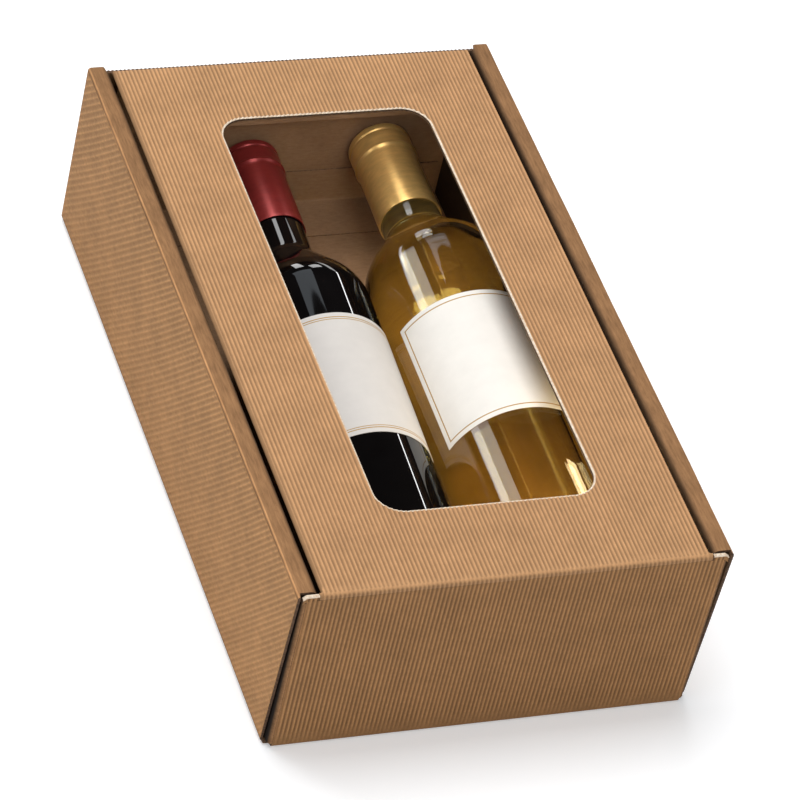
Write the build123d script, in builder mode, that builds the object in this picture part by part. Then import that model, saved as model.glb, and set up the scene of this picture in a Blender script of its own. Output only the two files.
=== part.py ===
"""Two-bottle gift box of single-faced corrugated board, lying on its base.

The tray is one folded sheet: base, two end walls with corner flaps, and two long side walls that
roll over into a double wall with a flat ledge on top. The lid hinges on the near end wall, drops
between the two ledges and tucks in behind the far end wall. A wide window in the lid shows a slim
dark bottle and a clear bottle of white wine, lying side by side with their necks at the far end.

Millimetres. X runs across the box, +Y points from the hinged end to the necks, +Z is up, and the
origin is the middle of the base, on the surface that the box lies on.
"""

import os
from math import cos, radians, sin, tan

from build123d import *

os.makedirs("parts", exist_ok=True)

# Room that the box leaves round the two bottles
foot_gap = 13.4
neck_end_gap = 4.0
white_side_gap = 3.6
bottle_gap = 1.6
spare_width = 36.8
headroom = 17.35
bottle_rest_gap = 0.05

# Corrugated board: a flat liner with an open fluted facing on its outer side
liner = 1.2
flute_height = 0.6
flute_pitch = 1.9
weld = 0.3
fold_radius = 1.2

# Rolled side walls
ledge_width = 9.0
ledge_roll_radius = 2.4
ledge_near_gap = 2.6
side_near_gap_top = 0.5
side_near_gap_bottom = 4.2
side_far_gap = 0.2
inner_panel_gap = 0.3
base_lap = 12.0

# End walls
end_wall_inset = 1.0
corner_flap_length = 40.0
corner_flap_gap = 1.0
far_wall_drop = 2.4
corner_horn_drop = 0.4
corner_horn_gap = 0.5

# Lid
lid_gap = 2.0
lid_split_gap = 0.3
lid_lip = 0.4
lid_flare = 1.7
lid_flare_gap = 0.6
lid_flare_radius = 1.4
flap_gap = 0.4
flap_capsule_gap = 3.85
flap_lean = 4.0
flap_side_gap = 3.0
window_width = 97.0
window_length = 244.0
window_radius = 12.0
window_shift_x = 2.0
window_shift_y = 1.0

# Clear bottle of white wine
white_body_radius = 34.5
white_neck_radius = 13.9
white_length = 305.0
white_neck_length = 61.0
white_shoulder_radius = 17.0
white_shoulder_angle = 38.0
white_yaw = 0.9
glass = 3.0
base_glass = 8.0
neck_glass = 4.4

# Dark bottle of red wine
red_body_radius = 30.5
red_neck_radius = 13.4
red_shorter = 2.0
red_neck_length = 69.0
red_shoulder_radius = 15.0
red_shoulder_angle = 36.0
red_yaw = 2.3

# Wine of the clear bottle, up to the closed end of its neck
wine_gap = 0.1
ullage_depth = 3.0
closed_neck = 38.0

# Capsules over the necks
capsule_length = 52.5
capsule_wall = 0.6
capsule_gap = 0.1

# Paper labels
label_thickness = 0.25
label_gap = 0.05
label_height = 73.5
white_label_gap = 41.5
white_label_angle = 139.0
red_label_gap = 35.6
red_label_angle = 156.0

# Outside of the closed box, and places that follow from the sizes above
board = liner + flute_height
inner_width = white_side_gap + 2 * white_body_radius + bottle_gap + 2 * red_body_radius + spare_width
box_width = inner_width + 2 * ledge_width
box_length = white_length + neck_end_gap + foot_gap + 2 * board
box_height = bottle_rest_gap + 2 * white_body_radius + headroom + 2 * board
half_width = box_width / 2
half_length = box_length / 2
end_liner_outer = half_length - flute_height
side_line = half_width - liner / 2
end_line = end_liner_outer - liner / 2
base_line = flute_height + liner / 2
ledge_line = box_height - liner / 2
inner_line = half_width - ledge_width + liner / 2
lid_half_width = half_width - ledge_width - lid_gap
lid_line = box_height - flute_height - liner / 2
lid_lip_bottom = lid_line - fold_radius - lid_lip
near_wall_top = lid_lip_bottom - lid_split_gap
far_wall_top = box_height - far_wall_drop
corner_line = half_width - liner - end_wall_inset - liner / 2
facing_half_width = corner_line - fold_radius
flute_start = base_line + fold_radius
flap_line = end_liner_outer - liner - flap_gap - liner / 2
capsule_outer = white_neck_radius + capsule_gap + capsule_wall
capsule_crest = board + bottle_rest_gap + white_body_radius + capsule_outer
flap_depth = lid_line - capsule_crest - flap_capsule_gap
white_shift_x = inner_width / 2 - white_side_gap - white_body_radius
red_shift_x = white_shift_x - white_body_radius - bottle_gap - red_body_radius
red_length = white_length - red_shorter


def flute_points(width, pitch):
    """Corners of a fluted facing seen end on: one peak for each flute, and a back inside the liner."""
    count = round(width / pitch)
    step = width / count
    points = [(-width / 2, -weld), (-width / 2, 0)]
    for i in range(count):
        left = i * step - width / 2
        points += [(left + step / 2, flute_height), (left + step, 0)]
    points.append((width / 2, -weld))
    return points


def plain_points(width):
    """Corners of the same facing where it is one plain layer."""
    return [(-width / 2, -weld), (-width / 2, flute_height), (width / 2, flute_height), (width / 2, -weld)]


def bottle_plane(body_radius, shift_x, length, yaw):
    """Plane in the foot of a lying bottle, with Z along the bottle's axis and X straight up."""
    foot_y = half_length - board - neck_end_gap - length
    axis = (sin(radians(yaw)), cos(radians(yaw)), 0)
    foot = (shift_x + foot_y * tan(radians(yaw)), foot_y, board + bottle_rest_gap + body_radius)
    return Plane(origin=foot, x_dir=(0, 0, 1), z_dir=axis)


def half_section(plane):
    """Plane of a half section through a bottle, with X as the radius and Y along the axis."""
    return Plane(origin=plane.origin, x_dir=plane.x_dir, z_dir=plane.x_dir.cross(plane.z_dir))


def bottle_axis(plane):
    """Axis that a bottle and the pieces on it are turned about."""
    return Axis(plane.origin, plane.z_dir)


def shoulder_places(body_radius, neck_radius, neck_start, shoulder_radius, shoulder_angle):
    """Start and end of the shoulder's arc, as radius and distance from the foot. A cone runs on to the neck."""
    angle = radians(shoulder_angle)
    arc_end_radius = body_radius - shoulder_radius * (1 - cos(angle))
    arc_end = neck_start - (arc_end_radius - neck_radius) / tan(angle)
    return (body_radius, arc_end - shoulder_radius * sin(angle)), (arc_end_radius, arc_end)


def draw_outside(body_radius, neck_radius, length, neck_length, shoulder_radius, shoulder_angle):
    """Draw the outside of a bottle from the middle of its foot to its mouth."""
    neck_start = length - neck_length
    start, end = shoulder_places(body_radius, neck_radius, neck_start, shoulder_radius, shoulder_angle)
    Polyline((0, 0), (body_radius, 0), start)
    TangentArc(start, end, tangent=(0, 1))
    Polyline(end, (neck_radius, neck_start), (neck_radius, length))


def capsule_points(neck_radius, length):
    """Corners of the half section of a capsule, closed at the mouth of the bottle."""
    inner = neck_radius + capsule_gap
    outer = inner + capsule_wall
    ceiling = length + capsule_gap
    top = ceiling + capsule_wall
    foot = top - capsule_length
    return [(0, top), (outer, top), (outer, foot), (inner, foot), (inner, ceiling), (0, ceiling)]


# Tray, folded from one sheet
with BuildPart() as tray:
    # Side walls: up from the base, over the ledge and down again
    side_inner = side_line - liner / 2
    ledge_underside = ledge_line - liner / 2
    for side in (-1, 1):
        with BuildSketch(Plane.XZ.offset(side_far_gap - half_length)):
            with BuildLine():
                FilletPolyline(
                    (side * (side_line - base_lap), base_line),
                    (side * side_line, base_line),
                    (side * side_line, ledge_line),
                    (side * inner_line, ledge_line),
                    (side * inner_line, board + inner_panel_gap),
                    radius=[fold_radius, fold_radius, ledge_roll_radius],
                )
            trace(line_width=liner)
        extrude(amount=box_length - side_far_gap - side_near_gap_top)

    # Ledges and inner panels end short of the near wall, and the inner panels short of the far wall
    for end, cut_height in ((-1, box_height), (1, ledge_underside)):
        with Locations((0, end * half_length)):
            Box(
                2 * side_inner,
                2 * ledge_near_gap,
                cut_height,
                align=(Align.CENTER, Align.CENTER, Align.MIN),
                mode=Mode.SUBTRACT,
            )

    # Slanted near ends of the outer panels, cut back towards the base
    for side in (-1, 1):
        with BuildSketch(Plane.YZ.offset(side * side_inner)):
            with BuildLine():
                Polyline(
                    (side_near_gap_top - half_length, box_height),
                    (side_near_gap_top - half_length, 0),
                    (side_near_gap_bottom - half_length, 0),
                    close=True,
                )
            make_face()
        extrude(amount=side * 2 * board, mode=Mode.SUBTRACT)

    # Base and both end walls, as one strip folded along the box
    with BuildSketch(Plane.YZ):
        with BuildLine():
            FilletPolyline(
                (-end_line, near_wall_top),
                (-end_line, base_line),
                (end_line, base_line),
                (end_line, far_wall_top),
                radius=fold_radius,
            )
        trace(line_width=liner)
    extrude(amount=facing_half_width, both=True)

    # Flutes under the base, pressed flat by the load
    with BuildSketch(Plane.XY):
        Rectangle(2 * (side_line - fold_radius), 2 * (end_line - fold_radius))
    extrude(amount=flute_height + weld)

    # End walls in plan, with their outer facing and the corner flaps inside the rolled side walls
    near_facing = flute_points(2 * facing_half_width, flute_pitch)
    far_facing = plain_points(2 * facing_half_width)
    for end, wall_top, facing in ((-1, near_wall_top, near_facing), (1, far_wall_top, far_facing)):
        with BuildSketch(Plane.XY.offset(flute_start)):
            with BuildLine():
                Polyline(
                    (-corner_line, end * (end_line - corner_flap_length)),
                    (-corner_line, end * end_line),
                    (corner_line, end * end_line),
                    (corner_line, end * (end_line - corner_flap_length)),
                )
            trace(line_width=liner)
        extrude(amount=wall_top - corner_flap_gap - flute_start)
        facing_origin = (0, end * end_liner_outer, flute_start)
        with BuildSketch(Plane(origin=facing_origin, x_dir=(end, 0, 0), z_dir=(0, 0, 1))):
            with BuildLine():
                Polyline(*facing, close=True)
            make_face()
        extrude(amount=wall_top - flute_start)

    # Corners of the near wall that rise beside the lid's crease
    horn_start = lid_half_width + lid_flare + corner_horn_gap
    horn_width = facing_half_width - horn_start
    horn_height = box_height - corner_horn_drop - near_wall_top + weld
    for side in (-1, 1):
        horn_x = side * (horn_start + horn_width / 2)
        with Locations((horn_x, -end_line, near_wall_top - weld + horn_height / 2)):
            Box(horn_width, liner, horn_height)

tray.part.label = "tray"
export_step(tray.part, "parts/tray.step")

# Lid with its window and tuck flap
with BuildPart() as lid:
    # Crease, panel and tuck flap, folded along the box
    with BuildSketch(Plane.YZ):
        with BuildLine():
            FilletPolyline(
                (-end_line, lid_lip_bottom),
                (-end_line, lid_line),
                (flap_line, lid_line),
                (flap_line - flap_depth * tan(radians(flap_lean)), lid_line - flap_depth),
                radius=fold_radius,
            )
        trace(line_width=liner)
    extrude(amount=lid_half_width + lid_flare, both=True)

    # Outline of the panel, flared where the crease meets the corners of the near wall
    with BuildSketch():
        with Locations((0, -half_length)):
            Rectangle(2 * lid_half_width, box_length, align=(Align.CENTER, Align.MIN))
            Rectangle(
                2 * (lid_half_width + lid_flare),
                ledge_near_gap - lid_flare_gap,
                align=(Align.CENTER, Align.MIN),
            )
        fillet(
            vertices().filter_by(lambda corner: abs(corner.X) < lid_half_width + weld and corner.Y < 0),
            radius=lid_flare_radius,
        )
    extrude(amount=box_height, mode=Mode.INTERSECT)

    # Open flutes on the panel
    panel_start = fold_radius - end_line
    panel_origin = (0, panel_start, lid_line + liner / 2)
    with BuildSketch(Plane(origin=panel_origin, x_dir=(-1, 0, 0), z_dir=(0, 1, 0))):
        with BuildLine():
            Polyline(*flute_points(2 * lid_half_width, flute_pitch), close=True)
        make_face()
    extrude(amount=flap_line - 2 * fold_radius - panel_start)

    # Window
    with BuildSketch(Plane.XY.offset(lid_line - board)):
        with Locations((window_shift_x, window_shift_y)):
            RectangleRounded(window_width, window_length, window_radius)
    extrude(amount=2 * board, mode=Mode.SUBTRACT)

    # Sides of the tuck flap, cut in so that it slides down between the side walls
    for side in (-1, 1):
        with Locations((side * lid_half_width, flap_line, lid_line - liner / 2 - fold_radius)):
            Box(
                2 * flap_side_gap,
                flap_depth,
                2 * flap_depth,
                align=(Align.CENTER, Align.CENTER, Align.MAX),
                mode=Mode.SUBTRACT,
            )

lid.part.label = "lid"
export_step(lid.part, "parts/lid.step")

# Clear bottle
white_plane = bottle_plane(white_body_radius, white_shift_x, white_length, white_yaw)
white_neck_start = white_length - white_neck_length
white_shoulder_start = shoulder_places(
    white_body_radius,
    white_neck_radius,
    white_neck_start,
    white_shoulder_radius,
    white_shoulder_angle,
)[0][1]
white_label_start = white_shoulder_start - white_label_gap - label_height
white_inner_radius = white_body_radius - glass
white_bore = white_neck_radius - neck_glass

with BuildPart() as white_bottle:
    with BuildSketch(half_section(white_plane)):
        with BuildLine():
            draw_outside(
                white_body_radius,
                white_neck_radius,
                white_length,
                white_neck_length,
                white_shoulder_radius,
                white_shoulder_angle,
            )
            Polyline(
                (white_neck_radius, white_length),
                (0, white_length),
                (0, white_length - closed_neck),
                (white_bore, white_length - closed_neck),
                (white_bore, white_neck_start),
                (white_inner_radius, white_shoulder_start),
                (white_inner_radius, base_glass),
                (0, base_glass),
                (0, 0),
            )
        make_face()
    revolve(axis=bottle_axis(white_plane))

white_bottle.part.label = "white_bottle"
export_step(white_bottle.part, "parts/white_bottle.step")

# White wine, level along its top because the bottle lies on its side
wine_radius = white_inner_radius - wine_gap
wine_neck_radius = white_bore - wine_gap
wine_foot = base_glass + wine_gap
wine_end = white_length - closed_neck - wine_gap
wine_level = white_plane.origin.Z + wine_radius - ullage_depth

with BuildPart() as white_wine:
    with BuildSketch(half_section(white_plane)):
        with BuildLine():
            Polyline(
                (0, wine_foot),
                (wine_radius, wine_foot),
                (wine_radius, white_shoulder_start),
                (wine_neck_radius, white_neck_start),
                (wine_neck_radius, wine_end),
                (0, wine_end),
                close=True,
            )
        make_face()
    revolve(axis=bottle_axis(white_plane))
    split(bisect_by=Plane.XY.offset(wine_level), keep=Keep.BOTTOM)

white_wine.part.label = "white_wine"
export_step(white_wine.part, "parts/white_wine.step")

# Gold capsule
with BuildPart() as gold_capsule:
    with BuildSketch(half_section(white_plane)):
        with BuildLine():
            Polyline(*capsule_points(white_neck_radius, white_length), close=True)
        make_face()
    revolve(axis=bottle_axis(white_plane))

gold_capsule.part.label = "gold_capsule"
export_step(gold_capsule.part, "parts/gold_capsule.step")

# Cream label, centred on the upper side of the clear bottle
with BuildPart() as white_label:
    with BuildSketch(half_section(white_plane.moved(Rotation(0, 0, -white_label_angle / 2)))):
        with Locations((white_body_radius + label_gap, white_label_start)):
            Rectangle(label_thickness, label_height, align=(Align.MIN, Align.MIN))
    revolve(axis=bottle_axis(white_plane), revolution_arc=white_label_angle)

white_label.part.label = "white_label"
export_step(white_label.part, "parts/white_label.step")

# Dark bottle, which can't be seen into
red_plane = bottle_plane(red_body_radius, red_shift_x, red_length, red_yaw)
red_shoulder_start = shoulder_places(
    red_body_radius,
    red_neck_radius,
    red_length - red_neck_length,
    red_shoulder_radius,
    red_shoulder_angle,
)[0][1]
red_label_start = red_shoulder_start - red_label_gap - label_height

with BuildPart() as red_bottle:
    with BuildSketch(half_section(red_plane)):
        with BuildLine():
            draw_outside(
                red_body_radius,
                red_neck_radius,
                red_length,
                red_neck_length,
                red_shoulder_radius,
                red_shoulder_angle,
            )
            Polyline((red_neck_radius, red_length), (0, red_length), (0, 0))
        make_face()
    revolve(axis=bottle_axis(red_plane))

red_bottle.part.label = "red_bottle"
export_step(red_bottle.part, "parts/red_bottle.step")

# Crimson capsule
with BuildPart() as red_capsule:
    with BuildSketch(half_section(red_plane)):
        with BuildLine():
            Polyline(*capsule_points(red_neck_radius, red_length), close=True)
        make_face()
    revolve(axis=bottle_axis(red_plane))

red_capsule.part.label = "red_capsule"
export_step(red_capsule.part, "parts/red_capsule.step")

# Off-white label, centred on the upper side of the dark bottle
with BuildPart() as red_label:
    with BuildSketch(half_section(red_plane.moved(Rotation(0, 0, -red_label_angle / 2)))):
        with Locations((red_body_radius + label_gap, red_label_start)):
            Rectangle(label_thickness, label_height, align=(Align.MIN, Align.MIN))
    revolve(axis=bottle_axis(red_plane), revolution_arc=red_label_angle)

red_label.part.label = "red_label"
export_step(red_label.part, "parts/red_label.step")
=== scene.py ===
"""Looks of the two-bottle gift box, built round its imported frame.

Lengths are in millimetres until a mesh is made. Lights, floor and camera are in metres.
"""

import math

import bmesh
import bpy
import numpy as np
from mathutils import Matrix


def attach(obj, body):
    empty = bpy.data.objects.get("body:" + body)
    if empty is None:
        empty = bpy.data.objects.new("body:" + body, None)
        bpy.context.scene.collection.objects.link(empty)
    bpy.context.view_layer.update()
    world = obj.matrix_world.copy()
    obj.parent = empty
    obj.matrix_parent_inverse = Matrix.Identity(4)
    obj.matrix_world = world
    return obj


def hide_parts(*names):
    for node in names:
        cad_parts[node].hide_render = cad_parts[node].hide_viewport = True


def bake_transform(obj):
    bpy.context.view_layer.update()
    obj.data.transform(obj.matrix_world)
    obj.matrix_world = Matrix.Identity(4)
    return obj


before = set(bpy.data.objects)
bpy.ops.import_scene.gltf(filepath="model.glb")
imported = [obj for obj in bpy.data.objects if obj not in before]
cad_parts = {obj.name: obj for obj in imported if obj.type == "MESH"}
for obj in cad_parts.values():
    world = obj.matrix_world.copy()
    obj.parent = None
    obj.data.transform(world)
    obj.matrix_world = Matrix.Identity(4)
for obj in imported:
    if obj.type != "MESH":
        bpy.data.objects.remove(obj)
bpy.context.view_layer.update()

METRES = 0.001
SIDES = (-1, 1)

# Board: a flat liner with open flutes on its outer side
LINER, FLUTE, PITCH, FOLD = 1.2, 0.6, 1.9, 1.2
HALF_LINER = LINER / 2
BOARD = LINER + FLUTE
FLUTE_STEP = PITCH / 8
FLUTE_RISE = 0.8 * FLUTE
FLUTE_MIDDLE = 0.36
PRESSED_RISE, PRESSED_MIDDLE = 0.35, 0.3

# Box, and the lines that the middle of its liner follows
HALF_W, HALF_L, HEIGHT = 95.0, 163.0, 90.0
LEDGE_W, END_INSET, LID_GAP = 9.0, 1.0, 2.0
BASE_LINE = FLUTE + HALF_LINER
END_LINE = HALF_L - FLUTE - HALF_LINER
END_OUT, END_IN = END_LINE + HALF_LINER, END_LINE - HALF_LINER
SIDE_LINE = HALF_W - HALF_LINER
INNER_LINE = HALF_W - LEDGE_W + HALF_LINER
LEDGE_LINE = HEIGHT - HALF_LINER
CORNER_LINE = HALF_W - LINER - END_INSET - HALF_LINER
FACE_W = CORNER_LINE - FOLD
FLUTE_START = BASE_LINE + FOLD
NEAR_TOP, FAR_TOP, CREASE_Z = 86.9, 87.6, 87.15

# Lid and its window: middle, half sizes and corner radius
LID_W = HALF_W - LEDGE_W - LID_GAP
LID_LINE = HEIGHT - FLUTE - HALF_LINER
LID_TOP, LID_UNDER = LID_LINE + HALF_LINER, LID_LINE - HALF_LINER
WINDOW_X, WINDOW_Y, WINDOW_HALF_W, WINDOW_HALF_L, WINDOW_R = 2.0, 1.0, 48.5, 122.0, 12.0
RIM = 0.8
FLAP_FOLD_Y, FLAP_END_Y, FLAP_END_Z, FLAP_W = 160.2, 157.82, 54.8, 81.0

# Side walls: gaps at their ends, and slanting ridges whose slope in degrees changes along the wall
NEAR_GAP_TOP, NEAR_GAP_BOTTOM, FAR_GAP, PANEL_GAP = 0.5, 4.2, 0.2, 2.6
ROLL_R, CREST_R = 2.4, 0.9
RIDGE_SLOPE, RIDGE_BEND, RIDGE_PITCH = 49.2, 4.8, 3.95

# Corner flaps, lining strip and upright corners
CORNER_FLAP, CORNER_FLAP_DROP, CORNER_FLAP_START = 40.0, 1.0, 90.6
STRIP, STRIP_R, STRIP_START, STRIP_TOP = 0.5, 1.0, 136.9, 21.0
HORN_START, HORN_END = 85.9, 92.9

# Tone of a face half way between valley and crest, in the painted shade and light of the board
MIDDLE_TONE = 0.5


# Meshes


class Sheet:
    """Gathers grids of points, each with its material, and makes one mesh of them."""

    def __init__(self):
        self.points, self.faces, self.kinds, self.tones, self.materials = [], [], [], [], []
        self.count = 0

    def grid(self, points, material, flip=False, tone=MIDDLE_TONE):
        """Add a grid of points. Tone, which paints shade and light into the colour, runs from 0 in the
        valleys of the flutes to 1 on their crests.
        """
        points = np.asarray(points)
        rows, cols = points.shape[:2]
        if material not in self.materials:
            self.materials.append(material)
        index = np.arange(rows * cols).reshape(rows, cols) + self.count
        quads = np.stack([index[:-1, :-1], index[:-1, 1:], index[1:, 1:], index[1:, :-1]], axis=-1)
        quads = quads.reshape(-1, 4)
        if flip:
            quads = quads[:, ::-1]
        self.points.append(points.reshape(-1, 3))
        self.faces.append(quads)
        self.kinds.append(np.full(len(quads), self.materials.index(material)))
        self.tones.append((np.zeros((rows, cols)) + tone).ravel())
        self.count += rows * cols

    def edge(self, first, second, material, flip=False):
        """Add the band between two rows of points."""
        self.grid(np.stack([first, second]), material, flip)

    def close_ends(self, outer, inner, material):
        """Add the bands between two grids along their first and last columns."""
        for col in (0, -1):
            self.edge(outer[:, col], inner[:, col], material)

    def make(self, name, body, slot, *nodes):
        """Make the mesh, which rides with a body and takes the place of nodes of the frame."""
        points = np.concatenate(self.points) * METRES
        faces = np.concatenate(self.faces)
        mesh = bpy.data.meshes.new(name)
        mesh.from_pydata(points.tolist(), [], faces.tolist())
        for material in self.materials:
            mesh.materials.append(material)
        mesh.polygons.foreach_set("material_index", np.concatenate(self.kinds).astype(np.int32))
        mesh.polygons.foreach_set("use_smooth", np.ones(len(faces), bool))
        tones = mesh.attributes.new("tone", "FLOAT", "POINT")
        tones.data.foreach_set("value", np.concatenate(self.tones).astype(np.float32))
        mesh.update()
        made = bpy.data.objects.new(name, mesh)
        bpy.context.scene.collection.objects.link(made)
        if body:
            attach(made, body)
        if nodes:
            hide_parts(*nodes)
        return made


def folded(corners, radii, steps=7, longest=8.0, most=16):
    """Points and left-hand normals along a path whose inner corners are rounded.

    A straight run is divided into parts no longer than longest, and into most of them at most.
    """
    corners = [np.array(c, float) for c in corners]
    path, normals = [], []
    for i, p in enumerate(corners):
        if i in (0, len(corners) - 1):
            d = corners[1] - p if i == 0 else p - corners[-2]
            d = d / np.linalg.norm(d)
            path.append(p)
            normals.append(np.array([-d[1], d[0]]))
            continue
        a = (p - corners[i - 1]) / np.linalg.norm(p - corners[i - 1])
        b = (corners[i + 1] - p) / np.linalg.norm(corners[i + 1] - p)
        turn = math.atan2(a[0] * b[1] - a[1] * b[0], a @ b)
        signed_r = math.copysign(radii[i - 1], turn)
        left = np.array([-a[1], a[0]])
        centre = p - a * radii[i - 1] * math.tan(abs(turn) / 2) + left * signed_r
        for angle in np.linspace(0, turn, steps + 1):
            c, s = math.cos(angle), math.sin(angle)
            n = np.array([left[0] * c - left[1] * s, left[0] * s + left[1] * c])
            path.append(centre - n * signed_r)
            normals.append(n)
    fine, fine_normals = [path[0]], [normals[0]]
    for p, n in zip(path[1:], normals[1:]):
        start = fine[-1]
        pieces = min(max(1, math.ceil(np.linalg.norm(p - start) / longest)), most)
        for k in range(1, pieces + 1):
            fine.append(start + (p - start) * k / pieces)
            fine_normals.append(n)
    return np.array(fine), np.array(fine_normals)


def across(xs, path, normal, lift):
    """Points spread over xs, of a sheet that follows a path in y and z and is raised off it by lift."""
    lift = np.zeros((len(path), len(xs))) + lift
    y = path[:, 0:1] + normal[:, 0:1] * lift
    z = path[:, 1:2] + normal[:, 1:2] * lift
    return np.stack([np.zeros_like(y) + xs, y, z], axis=-1)


def rows_at(xs, places):
    """Rows of points over xs, one for each place in y and z."""
    level = np.zeros_like(xs)
    return np.stack([np.stack([xs, level + y, level + z], axis=-1) for y, z in places])


def smooth(x):
    """Ease from 0 to 1."""
    x = np.clip(x, 0, 1)
    return x * x * (3 - 2 * x)


def waves(u, v, size):
    """Slow unevenness of hand-folded board."""
    return size * (
        0.5 * np.sin(u / 23.0 + 1.3) * np.cos(v / 31.0 + 0.4)
        + 0.3 * np.sin(u / 11.0 - v / 17.0 + 2.1)
        + 0.2 * np.cos(u / 6.3 + v / 8.9 + 0.7)
    )


def flutes(x):
    """Height of the flutes, from minus a half to a half."""
    wobble = 0.06 * np.sin(x / 9.7) + 0.04 * np.sin(x / 3.1 + 1.0)
    return 0.5 * np.cos(2 * np.pi * (x / PITCH + wobble))


# Materials


def nodes_of(name):
    """New material with its node tree and its shader."""
    material = bpy.data.materials.new(name)
    material.use_nodes = True
    tree = material.node_tree
    return material, tree, tree.nodes["Principled BSDF"]


def add(tree, kind, **values):
    node = tree.nodes.new(kind)
    for key, value in values.items():
        setattr(node, key, value)
    return node


def put(node, **values):
    """Set constants on sockets, with underscores for the spaces in their names."""
    for key, value in values.items():
        node.inputs[key.replace("_", " ")].default_value = value


def noise(tree, scale, detail=4.0, rough=0.6, stretch=None):
    """Noise over the place on the piece, with a larger stretch for finer grain along that axis."""
    place = add(tree, "ShaderNodeTexCoord").outputs["Object"]
    if stretch:
        mapping = add(tree, "ShaderNodeMapping")
        put(mapping, Scale=stretch)
        tree.links.new(place, mapping.inputs["Vector"])
        place = mapping.outputs["Vector"]
    node = add(tree, "ShaderNodeTexNoise")
    put(node, Scale=scale, Detail=detail, Roughness=rough)
    tree.links.new(place, node.inputs["Vector"])
    return node.outputs["Fac"]


def ramp(tree, source, low, low_colour, high, high_colour):
    """Colour that runs from one to another between two values of the source."""
    node = add(tree, "ShaderNodeValToRGB")
    stops = ((low, low_colour), (high, high_colour))
    for element, (place, colour) in zip(node.color_ramp.elements, stops):
        element.position = place
        element.color = (*colour, 1)
    tree.links.new(source, node.inputs["Fac"])
    return node.outputs["Color"]


def mottle(tree, source, colour, dark, light):
    """Colour varied by the source between two shares of it."""
    c = np.array(colour)
    return ramp(tree, source, 0.3, tuple(c * dark), 0.7, tuple(np.minimum(c * light, 1)))


def mix(tree, kind, amount, a, b):
    node = add(tree, "ShaderNodeMix", data_type="RGBA", blend_type=kind)
    for value, socket in ((amount, node.inputs[0]), (a, node.inputs[6]), (b, node.inputs[7])):
        if isinstance(value, (int, float)):
            socket.default_value = value
        elif isinstance(value, tuple):
            socket.default_value = (*value, 1)
        else:
            tree.links.new(value, socket)
    return node.outputs[2]


def bump(tree, shader, source, strength, distance=0.0002):
    node = add(tree, "ShaderNodeBump")
    put(node, Strength=strength, Distance=distance)
    tree.links.new(source, node.inputs["Height"])
    tree.links.new(node.outputs["Normal"], shader.inputs["Normal"])


def kraft(name, colour, fleck=0.35, stretch=(1, 0.25, 1), valley=1.0, crest=1.0):
    """Brown board: blotches, fibres and dark flecks over a colour, with painted shade in the valleys of
    the flutes and painted light on their crests.
    """
    white = (1.0, 1.0, 1.0)
    material, tree, shader = nodes_of(name)
    blotch = mottle(tree, noise(tree, scale=55, detail=5), colour, 0.9, 1.09)
    grain = noise(tree, scale=900, detail=3, rough=0.7, stretch=stretch)
    fibre = ramp(tree, grain, 0.3, (0.6, 0.57, 0.54), 0.7, white)
    speckle = noise(tree, scale=1500, detail=2, rough=0.5)
    spots = ramp(tree, speckle, 0.2, (0.55, 0.5, 0.46), 0.36, white)
    toned = mix(tree, "MULTIPLY", fleck * 1.2, blotch, fibre)
    toned = mix(tree, "MULTIPLY", fleck, toned, spots)
    # The tone scales the colour from valley to crest: painted shade and painted light.
    if valley < crest:
        rise = add(tree, "ShaderNodeAttribute", attribute_name="tone")
        shade = add(tree, "ShaderNodeMapRange")
        tree.links.new(rise.outputs["Fac"], shade.inputs["Value"])
        put(shade, To_Min=valley, To_Max=crest)
        toned = mix(tree, "MULTIPLY", 1.0, toned, shade.outputs["Result"])
    tree.links.new(toned, shader.inputs["Base Color"])
    put(shader, Roughness=0.78, Specular_IOR_Level=0.25)
    bump(tree, shader, noise(tree, scale=1600, detail=3, rough=0.7, stretch=stretch), 0.25)
    return material


def cut_edge(name, dark, light):
    """Cut edge of the board, streaked where flutes and liner are cut through."""
    material, tree, shader = nodes_of(name)
    grain = noise(tree, scale=700, detail=4, rough=0.8, stretch=(1, 1, 2.5))
    tree.links.new(ramp(tree, grain, 0.38, dark, 0.62, light), shader.inputs["Base Color"])
    put(shader, Roughness=0.9)
    return material


def satin(name, colour, roughness, metal):
    """Satin foil with fine brushing round it and faint wrinkles."""
    material, tree, shader = nodes_of(name)
    brushing = noise(tree, scale=160, stretch=(1, 3, 1))
    tree.links.new(mottle(tree, brushing, colour, 0.88, 1.1), shader.inputs["Base Color"])
    put(shader, Metallic=metal, Roughness=roughness)
    bump(tree, shader, noise(tree, scale=1100, detail=3, stretch=(1, 2, 1)), 0.12)
    return material


def clear_glass():
    material, tree, shader = nodes_of("clear_glass")
    put(shader, Base_Color=(0.96, 0.98, 0.95, 1), Roughness=0.0, IOR=1.5, Transmission_Weight=1.0)
    bump(tree, shader, noise(tree, scale=28, detail=2), 0.008, 0.002)
    return material


def black_glass():
    material, tree, shader = nodes_of("black_glass")
    cloud = noise(tree, scale=30, detail=2)
    tone = ramp(tree, cloud, 0.3, (0.002, 0.0016, 0.0016), 0.7, (0.005, 0.004, 0.004))
    tree.links.new(tone, shader.inputs["Base Color"])
    put(shader, Roughness=0.03, IOR=1.52)
    bump(tree, shader, noise(tree, scale=26, detail=2), 0.015, 0.002)
    return material


def wine_of(name, colour):
    """Clear wine in the colour that its depth gives it."""
    material, tree, shader = nodes_of(name)
    tone = mottle(tree, noise(tree, scale=18, detail=2), colour, 0.92, 1.06)
    tree.links.new(tone, shader.inputs["Base Color"])
    put(shader, Roughness=0.0, IOR=1.34, Transmission_Weight=1.0)
    return material


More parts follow.
